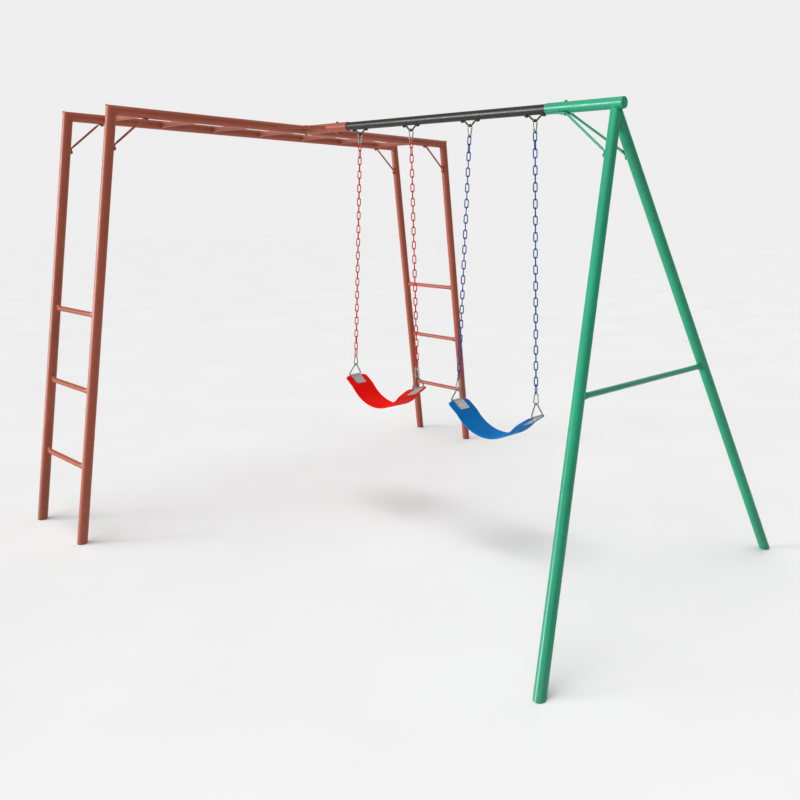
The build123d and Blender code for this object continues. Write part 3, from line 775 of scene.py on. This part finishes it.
# ---------------------------------------------------------------------------
# Hangers: a bent rod with a forged pad on each foot, welded under the beam
# ---------------------------------------------------------------------------
def make_hangers():
    for number in range(1, 5):
        name = "hanger_" + str(number)
        x = middle(name).x
        foot_z = AXIS_Z - BEAM_R + HANGER_R
        rise, run, bend = foot_z - HANGER_Z, HANGER_SPREAD, HANGER_BEND
        slope = math.atan2(rise, run)
        # the bends take length off both straight runs, so their slope is found by repeating
        for _ in range(20):
            slope = math.atan2(rise - bend * (1 - math.cos(slope)), run - bend * math.sin(slope))
        low = HANGER_Z + bend - bend / math.cos(slope)
        profile = [(-HANGER_FOOT, foot_z), (-run, foot_z), (0, low), (run, foot_z), (HANGER_FOOT, foot_z)]
        corners = [Vector((x + across, 0, z)) for across, z in profile]
        shape = Shape()
        path = fine(rounded(corners, [FOOT_BEND, bend, FOOT_BEND], math.radians(6)), HANGER_SPACING)
        marks = travelled(path)

        def rod_outline(i, marks=marks):
            from_foot = min(marks[i], marks[-1] - marks[i])
            swell = 1 + FOOT_SWELL * (1 - ease(from_foot / FOOT_SWELL_LENGTH))
            return oval(HANGER_R * swell, HANGER_R * swell, 2, 20)

        swept(shape, path, Y, rod_outline)
        shape.make("bent_" + name, "frame", "black_paint")
        pads = Shape()
        for side in (-1, 1):
            foot_x = x + side * PAD_X
            rings = []
            for step in range(PAD_STEPS + 1):
                angle = math.pi / 2 * step / PAD_STEPS
                radius = PAD_R * math.sin(angle) ** 0.7 if step else PAD_TIP_R
                z = AXIS_Z - BEAM_R - PAD_DEPTH + PAD_R * (1 - math.cos(angle))
                origin = Vector((foot_x, 0, z))
                rings.append(placed(oval(radius * 1.05, radius * 0.95, 2.3, 28), origin, X, Y))
            pads.loft(rings)
            loop = []
            for point in round_loop(Vector((foot_x, 0, AXIS_Z - 2 * BEAM_R)), Z, X, PAD_R):
                loop.append(reach(point, Z, Vector((x, 0, AXIS_Z)), X, BEAM_R))
            bead(pads, loop, PAD_BEAD)
        pads.make("pads_of_" + name, "frame", "black_paint", WELDS["black_paint"], [name])


# ---------------------------------------------------------------------------
# Chains: every link is bent wire with a weld swell on one side
# ---------------------------------------------------------------------------
LINK_POINTS = 10


def link_path(half_length):
    """Closed centre line of a link in its own plane, as (across, along)."""
    bend = LINK_WIDTH / 2 - LINK_R
    straight = half_length - bend
    path = []
    for sign in (1, -1):
        for i in range(LINK_POINTS + 1):
            angle = math.pi * i / LINK_POINTS
            path.append((sign * bend * math.cos(angle), sign * (straight + bend * math.sin(angle))))
        for i in range(1, 5):
            path.append((-sign * bend, sign * mixed(straight, -straight, i / 5)))
    return path


def make_link(shape, centre, down, across, half_length):
    flat = link_path(half_length)
    path = [centre + across * a + down * b for a, b in flat]
    normal = across.cross(down).normalized()

    def wire(i):
        a, b = flat[i]
        swell = 1.0
        if a < 0:
            swell += SEAM_SWELL * math.exp(-(b / SEAM_LENGTH) ** 2)
        return oval(LINK_R * swell, LINK_R * swell, 2, 12)

    swept(shape, path, normal, wire, closed=True)


def make_chain(colour, word, hanger, sign):
    """One chain in the space of its CAD node, from which the ends of the row are worked out."""
    node = colour + "_chain_" + word
    low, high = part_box(node)
    angle = math.atan2(SEAT_SPLAY, HANGER_Z - seat_pivot_z(colour))
    down = Vector((sign * math.sin(angle), 0, -math.cos(angle)))
    pin = Vector((middle(hanger).x, 0, HANGER_Z))
    bend = LINK_WIDTH / 2
    first = (HANGER_Z + bend - high.z) / math.cos(angle) - bend
    last = (HANGER_Z - low.z - bend) / math.cos(angle) + bend
    step = (last - first - 4 * LINK_R - LINK_GAP) / LINKS
    outer = step + 4 * LINK_R + LINK_GAP
    shape = Shape()
    for index in range(LINKS):
        centre = pin + down * (first + outer / 2 + step * index)
        from_end = min(index + 1, LINKS - index)
        turn = LINK_TURN * min(1, from_end / TURN_LINKS) + math.pi / 2 * (index % 2)
        across = X * math.cos(turn) + Y * math.sin(turn)
        across = (across - down * across.dot(down)).normalized()
        make_link(shape, centre, down, across, outer / 2 - LINK_R)
    shape.make("links_of_" + node, colour + "_chains", colour + "_chain", replaced=[node])


# ---------------------------------------------------------------------------
# Belt seats
# ---------------------------------------------------------------------------
def strap_outline(half_width, half_thick, edge, parts):
    """Flat bar outline with rounded edges and points spread over its width."""
    edge = min(edge, half_thick, half_width)
    outline = []
    quarter = 5
    for sx, sy, start in ((1, 1, 0), (-1, 1, 90), (-1, -1, 180), (1, -1, 270)):
        cx, cy = sx * (half_width - edge), sy * (half_thick - edge)
        for i in range(quarter + 1):
            angle = math.radians(start + 90 * i / quarter)
            outline.append((cx + edge * math.cos(angle), cy + edge * math.sin(angle)))
        if sy == sx:
            for i in range(1, parts):
                x = mixed(cx, -cx, i / parts)
                outline.append((x, sy * half_thick))
    return outline


def strap(shape, path, side, half_width, half_thick, corner, edge, parts):
    """A flat strap along a path, with rounded corners in plan and softened edges."""
    total = travelled(path)[-1]
    near = []
    for i in range(9):
        near.append(corner * (1 - math.cos(math.pi / 2 * i / 8)))
    near = [0.0, edge * 0.12, edge * 0.4] + [mark for mark in near if mark > edge * 0.6]
    marks = travelled(path)
    inner = [mark for mark in marks if near[-1] + MM < mark < total - near[-1] - MM]
    stations = near + inner + [total - mark for mark in reversed(near)]
    points = []
    row = 0
    for station in stations:
        while row < len(marks) - 2 and marks[row + 1] < station:
            row += 1
        share = (station - marks[row]) / (marks[row + 1] - marks[row])
        points.append(path[row].lerp(path[row + 1], share))

    def outline_at(i):
        from_end = min(stations[i], total - stations[i])
        into = min(corner, from_end)
        width = half_width - corner + math.sqrt(max(0.0, corner ** 2 - (corner - into) ** 2))
        into = min(edge, from_end)
        thin = half_thick - edge + math.sqrt(max(0.0, edge ** 2 - (edge - into) ** 2))
        thin = max(thin, half_thick * 0.3)
        return strap_outline(width, thin, edge, parts)

    swept(shape, points, side, outline_at)


def belt_centre_line(left, right):
    """Flat under the plates, over a shoulder, then one arc through the lowest point."""
    middle_x = (left.x + right.x) / 2
    half, x, z = [], right.x, right.z
    start = TRI_R + FIT_GAP + BELT_END_GAP
    for i in range(12):
        along = mixed(start, BELT_STRAIGHT, i / 12)
        half.append((x - along * math.cos(BELT_END_ANGLE), z - along * math.sin(BELT_END_ANGLE)))
    x -= BELT_STRAIGHT * math.cos(BELT_END_ANGLE)
    z -= BELT_STRAIGHT * math.sin(BELT_END_ANGLE)
    for i in range(9):
        angle = mixed(BELT_END_ANGLE, BELT_ANGLE, i / 8)
        run = BELT_SHOULDER * (math.sin(angle) - math.sin(BELT_END_ANGLE))
        fall = BELT_SHOULDER * (math.cos(BELT_END_ANGLE) - math.cos(angle))
        half.append((x - run, z - fall))
    radius = (half[-1][0] - middle_x) / math.sin(BELT_ANGLE)
    centre_z = half[-1][1] + radius * math.cos(BELT_ANGLE)
    parts = 24
    for i in range(1, parts):
        angle = mixed(BELT_ANGLE, 0, i / parts)
        half.append((middle_x + radius * math.sin(angle), centre_z - radius * math.cos(angle)))
    low = [Vector((middle_x, 0, centre_z - radius))]
    right_side = [Vector((px, 0, pz)) for px, pz in half]
    left_side = [Vector((2 * middle_x - px, 0, pz)) for px, pz in half]
    return left_side + low + right_side[::-1]


def folded_plate(shape, bar, along, normal):
    """Sheet folded round the ring's bar, one leaf on each face of the belt."""
    offset = TRI_R + FIT_GAP + PLATE_THICK / 2
    path = [bar + normal * offset + along * mixed(PLATE_LENGTH, 0, i / 10) for i in range(10)]
    for i in range(17):
        angle = math.pi * i / 16
        path.append(bar + normal * (offset * math.cos(angle)) - along * (offset * math.sin(angle)))
    path += [bar - normal * offset + along * mixed(0, PLATE_LENGTH, i / 10) for i in range(1, 11)]
    strap(shape, path, Y, PLATE_WIDTH / 2, PLATE_THICK / 2, PLATE_CORNER, PLATE_EDGE, PLATE_PARTS)


def make_seat(colour, left_hanger, right_hanger):
    bars = []
    for hanger, sign in ((left_hanger, -1), (right_hanger, 1)):
        pivot = Vector((middle(hanger).x + sign * SEAT_SPLAY, 0, seat_pivot_z(colour)))
        down = Vector((sign * math.sin(TRI_TILT), 0, -math.cos(TRI_TILT)))
        bars.append(pivot + down * TRI_HEIGHT)
    belt, plates = Shape(), Shape()
    path = belt_centre_line(*bars)
    strap(belt, path, Y, BELT_WIDTH / 2, BELT_THICK / 2, BELT_CORNER, BELT_EDGE, BELT_PARTS)
    for bar, sign in zip(bars, (1, -1)):
        along = Vector((sign * math.cos(BELT_END_ANGLE), 0, -math.sin(BELT_END_ANGLE)))
        normal = Vector((sign * math.sin(BELT_END_ANGLE), 0, math.cos(BELT_END_ANGLE)))
        folded_plate(plates, bar, along, normal)
    body = colour + "_seat"
    belt.make(colour + "_moulded_belt", body, colour + "_belt", replaced=[colour + "_belt_seat"])
    plates.make(colour + "_folded_plates", body, "zinc", replaced=[colour + "_seat_plates"])


# ---------------------------------------------------------------------------
# Floor, light and camera
# ---------------------------------------------------------------------------
FLOOR_HALF = 40.0
ROOM_LIGHT = 0.29
ROOM_SEEN = 0.86
CAMERA_PLACE = (2.8461, -2.8443, 1.5229)
CAMERA_YAW = math.radians(131.88)
CAMERA_PITCH = math.radians(-10.32)
CAMERA_ROLL = math.radians(0.93)


def make_floor():
    s = Surface("pale_floor", {"Metallic": 0.0, "Specular IOR Level": 0.1})
    tone = s.spread(s.noise(1.2, 4.0), 0.3, 0.7)
    base = s.blend(tone, (0.77, 0.77, 0.77, 1.0), (0.80, 0.80, 0.80, 1.0))
    rough = s.spread(s.noise(6.0, 4.0), 0.3, 0.7, 0.75, 0.9)
    material = s.finish(base, rough)
    mesh = bpy.data.meshes.new("floor")
    half = FLOOR_HALF
    corners = [(-half, -half, 0), (half, -half, 0), (half, half, 0), (-half, half, 0)]
    mesh.from_pydata(corners, [], [(0, 1, 2, 3)])
    mesh.materials.append(material)
    floor = bpy.data.objects.new("floor", mesh)
    bpy.context.scene.collection.objects.link(floor)


def area_light(name, place, aim, size, power):
    data = bpy.data.lights.new(name, "AREA")
    data.shape = "RECTANGLE"
    data.size, data.size_y = size
    data.energy = power
    lamp = bpy.data.objects.new(name, data)
    bpy.context.scene.collection.objects.link(lamp)
    lamp.location = place
    lamp.rotation_euler = (Vector(aim) - Vector(place)).to_track_quat("-Z", "Y").to_euler()


def sun_light(name, direction, strength, spread):
    data = bpy.data.lights.new(name, "SUN")
    data.energy = strength
    data.angle = math.radians(spread)
    lamp = bpy.data.objects.new(name, data)
    bpy.context.scene.collection.objects.link(lamp)
    lamp.rotation_euler = Vector(direction).to_track_quat("-Z", "Y").to_euler()


def make_light():
    """A pale room, a broad low key from the left front, soft light from above, a fill and a back light."""
    world = bpy.data.worlds.new("studio")
    bpy.context.scene.world = world
    world.use_nodes = True
    background = world.node_tree.nodes["Background"]
    background.inputs["Color"].default_value = (1.0, 1.0, 1.0, 1.0)
    seen = world.node_tree.nodes.new("ShaderNodeLightPath").outputs["Is Camera Ray"]
    level = world.node_tree.nodes.new("ShaderNodeMapRange")
    level.inputs["To Min"].default_value = ROOM_LIGHT
    level.inputs["To Max"].default_value = ROOM_SEEN
    world.node_tree.links.new(seen, level.inputs["Value"])
    world.node_tree.links.new(level.outputs["Result"], background.inputs["Strength"])
    sun_light("top", direction=(0.10, 0.22, -1.0), strength=2.05, spread=40)
    sun_light("key", direction=(0.60, 0.79, -0.08), strength=3.9, spread=22)
    area_light("fill", place=(3.6, -3.4, 2.2), aim=(0.4, 0.0, 1.0), size=(2.0, 2.0), power=16)
    sun_light("back", direction=(0.15, -0.85, -0.5), strength=0.45, spread=50)


def make_camera():
    """Standing in front of the beam, to the right, a little below its height."""
    yaw, pitch, roll = CAMERA_YAW, CAMERA_PITCH, CAMERA_ROLL
    forward = Vector((math.cos(pitch) * math.cos(yaw), math.cos(pitch) * math.sin(yaw), math.sin(pitch)))
    right = forward.cross(Z).normalized()
    up = right.cross(forward)
    turned_right = right * math.cos(roll) + up * math.sin(roll)
    turned_up = up * math.cos(roll) - right * math.sin(roll)
    data = bpy.data.cameras.new("camera")
    data.sensor_width = 36.0
    data.lens = 37.8
    data.shift_x = -0.0910
    data.shift_y = -0.0411
    camera = bpy.data.objects.new("camera", data)
    bpy.context.scene.collection.objects.link(camera)
    turn = Matrix((turned_right, turned_up, -forward)).transposed().to_4x4()
    camera.matrix_world = Matrix.Translation(CAMERA_PLACE) @ turn
    bpy.context.scene.camera = camera


make_rungs()
make_frame_welds()
make_corner_braces()
make_a_frame()
make_a_brace()
make_hangers()
SEATS = {"red": ("hanger_1", "hanger_2"), "blue": ("hanger_3", "hanger_4")}
for seat_colour, hangers in SEATS.items():
    make_chain(seat_colour, "left", hangers[0], -1)
    make_chain(seat_colour, "right", hangers[1], 1)
    make_seat(seat_colour, *hangers)
make_floor()
make_light()
make_camera()
bpy.context.scene.view_settings.view_transform = "Standard"
